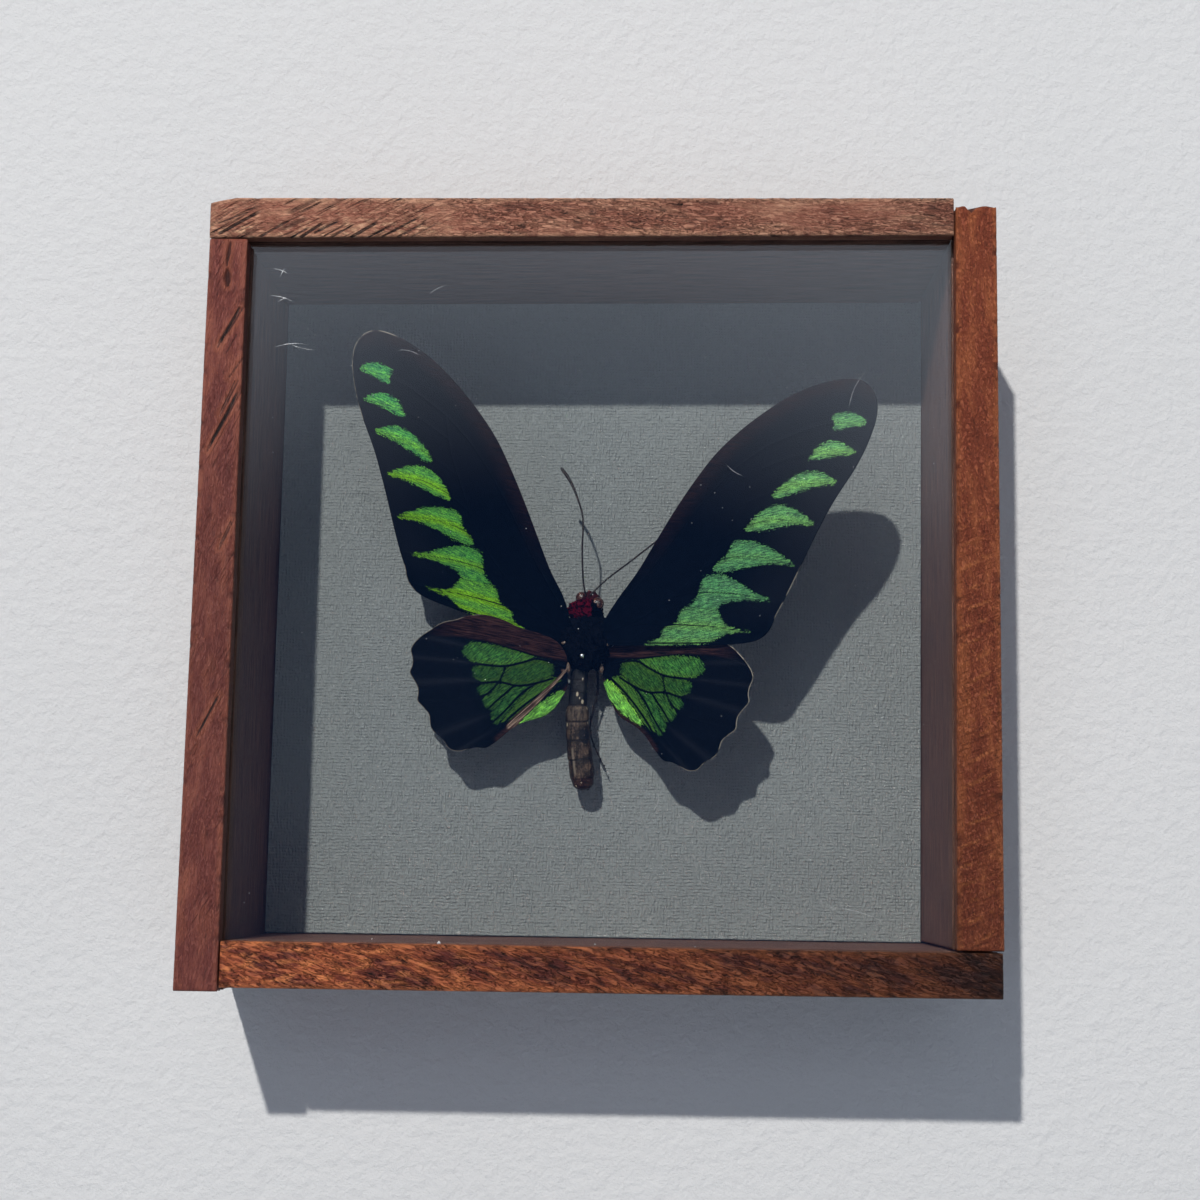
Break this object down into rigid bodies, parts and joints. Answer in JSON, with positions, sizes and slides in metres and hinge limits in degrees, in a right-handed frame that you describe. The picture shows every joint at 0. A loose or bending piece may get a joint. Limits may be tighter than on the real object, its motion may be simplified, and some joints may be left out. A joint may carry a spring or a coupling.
{
  "type": "framed butterfly specimen",
  "caption": "Spread black and green birdwing butterfly pinned over grey linen card in a deep square box of rough-sawn stained wood with a recessed glass front.",
  "frame": {"origin": "centre of the outline of the box's back, on the surface the box lies on", "axes": "+Z out through the glass, +Y towards the insect's head (the top slat), +X to the viewer's right"},
  "size_m": [0.1704, 0.17, 0.058],
  "materials": {
    "mahogany_stained_pine": "reddish stain, rough-sawn",
    "worn_stained_pine": "rubbed brown stain with torn grain and glossy rubbed saw ridges",
    "orange_stained_pine": "orange-brown stain with diagonal saw marks",
    "flecked_stained_pine": "orange-brown stain with dark flecks of torn grain",
    "window_glass": "clear, lightly dusty and scratched",
    "grey_linen_card": "matt, linen-embossed",
    "fibre_board": "raw pressed fibre",
    "black_thorax_hair": "short black hair over glossy chitin",
    "crimson_collar_hair": "dense crimson hair",
    "brown_head": "glossy brown eyes on a dark head",
    "brown_abdomen": "dry mottled brown chitin with dark blotches",
    "black_emerald_forewing": "velvet black scales with a row of emerald patches",
    "black_lime_forewing": "velvet black scales with a row of yellow-green patches",
    "black_green_hindwing": "black scales with a green field split by dark veins",
    "black_antenna": "satin black-brown",
    "dark_leg": "satin dark brown",
    "pin_steel": "bright polished steel"
  },
  "bodies": {
    "root": {"slat_left": "mahogany_stained_pine", "slat_top": "worn_stained_pine", "slat_right": "orange_stained_pine", "slat_bottom": "flecked_stained_pine", "glass_pane": "window_glass", "linen_card": "grey_linen_card", "backing_board": "fibre_board", "thorax": "black_thorax_hair", "collar": "crimson_collar_hair", "head": "brown_head", "abdomen": "brown_abdomen", "forewing_right": "black_emerald_forewing", "forewing_left": "black_lime_forewing", "hindwing_right": "black_green_hindwing", "hindwing_left": "black_green_hindwing", "antenna_left": "black_antenna", "antenna_right": "black_antenna", "leg_front_left": "dark_leg", "leg_front_right": "dark_leg", "leg_middle_left": "dark_leg", "leg_middle_right": "dark_leg", "leg_hind_left": "dark_leg", "leg_hind_right": "dark_leg", "insect_pin": "pin_steel"}
  },
  "joints": []
}
